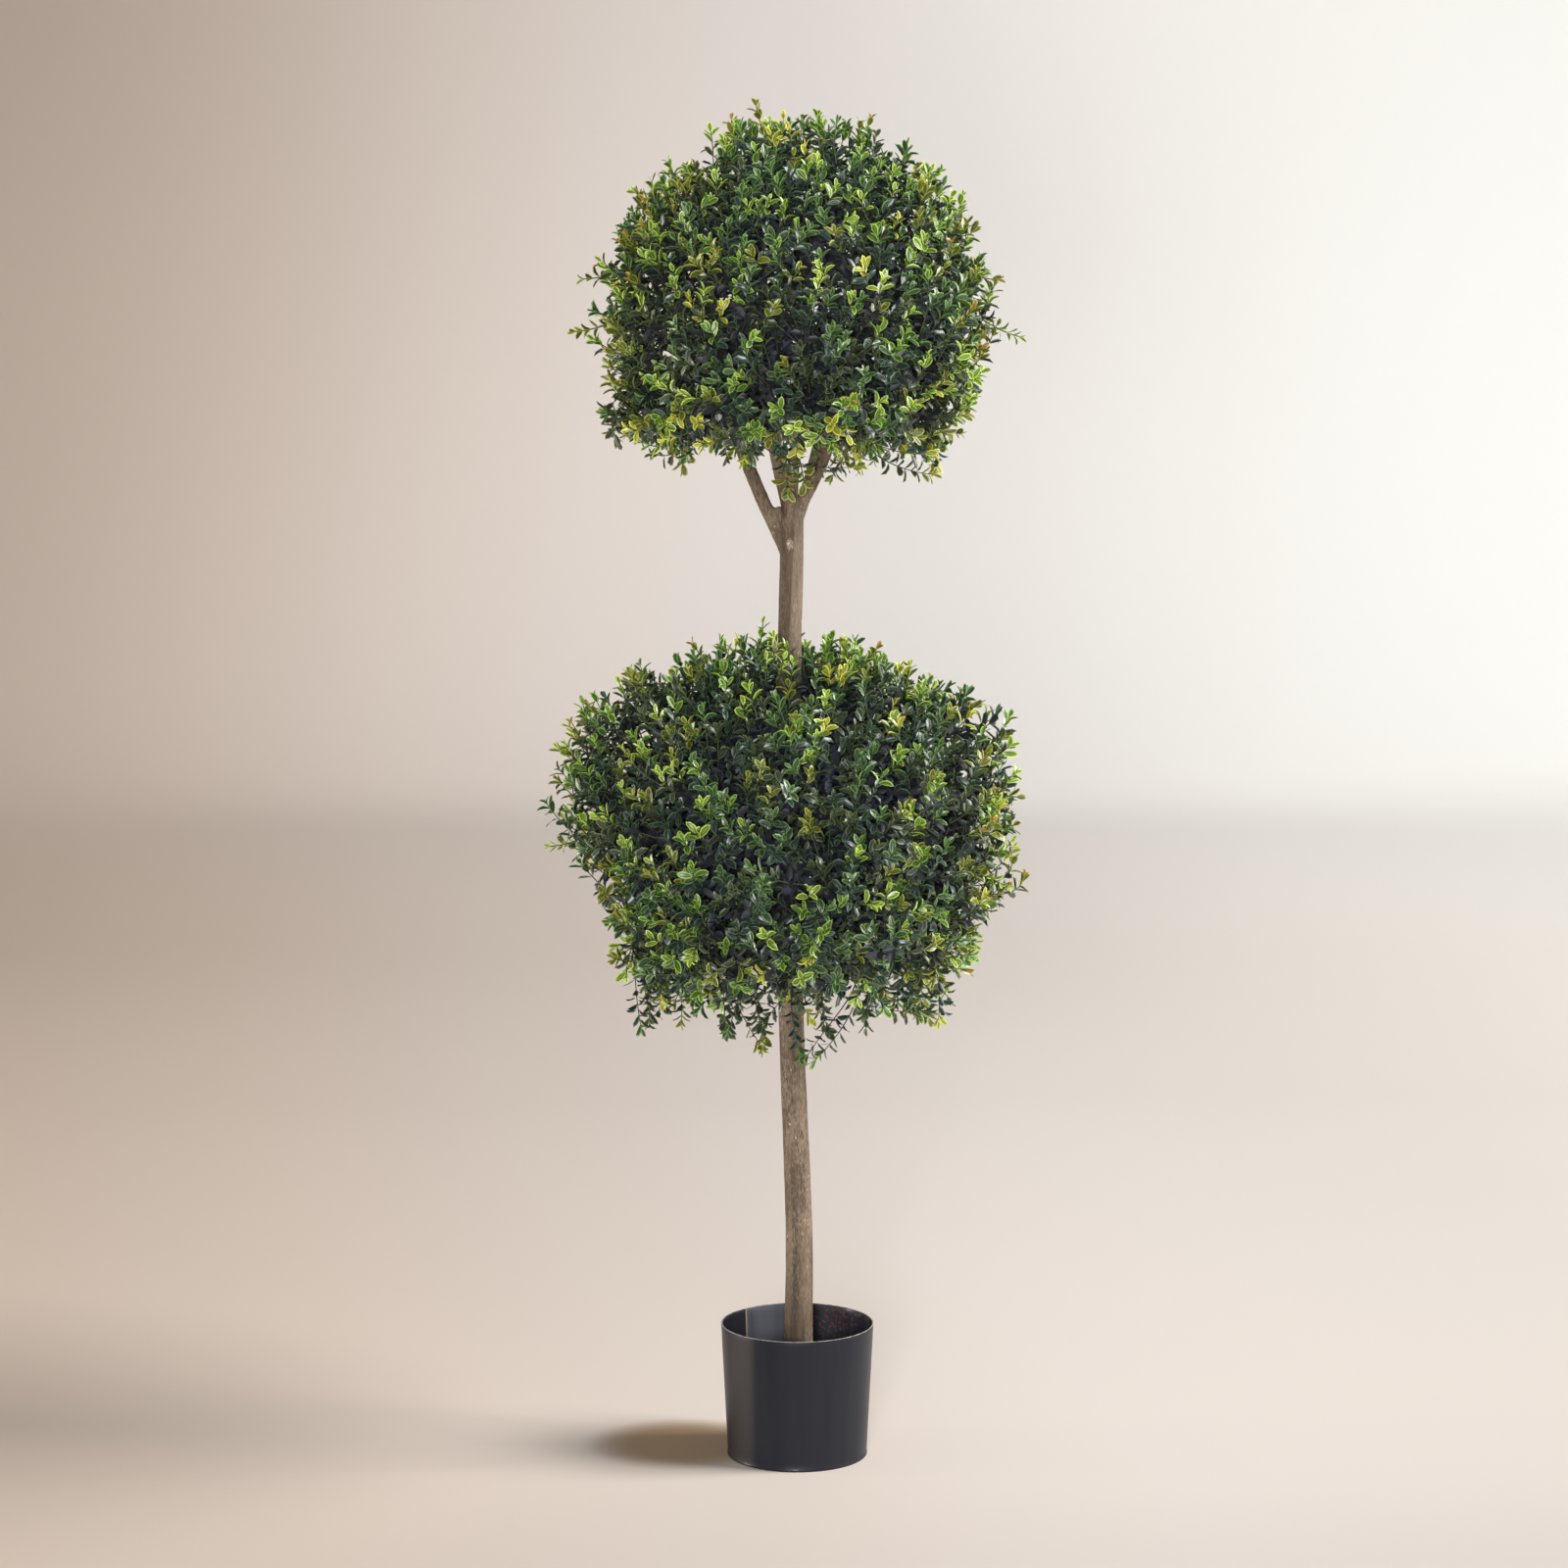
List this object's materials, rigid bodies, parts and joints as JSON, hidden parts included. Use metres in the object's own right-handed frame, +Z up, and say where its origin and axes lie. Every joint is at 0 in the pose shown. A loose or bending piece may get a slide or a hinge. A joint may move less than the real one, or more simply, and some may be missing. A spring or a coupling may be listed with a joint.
{
  "type": "potted double-ball boxwood topiary",
  "caption": "Artificial boxwood topiary: a clipped leafy ball at mid-height and another on the forked top of its slim stem, standing in a plain dark round pot.",
  "frame": {"origin": "centre of the pot's flat underside", "axes": "+Z up along the stem, -Y towards the front that the picture shows, +X to the right seen from the front"},
  "size_m": [0.539, 0.5087, 1.524],
  "materials": {
    "pot": "satin charcoal",
    "filling": "dark rough cast",
    "bark": "matt grey-brown bark",
    "foliage": "semi-gloss green leaves"
  },
  "bodies": {
    "root": {"pot": "pot", "filling": "filling", "trunk": "bark", "limb_left": "bark", "limb_right": "bark", "limb_front": "bark", "limb_back": "bark", "foliage_lower": "foliage", "foliage_upper": "foliage"}
  },
  "joints": []
}
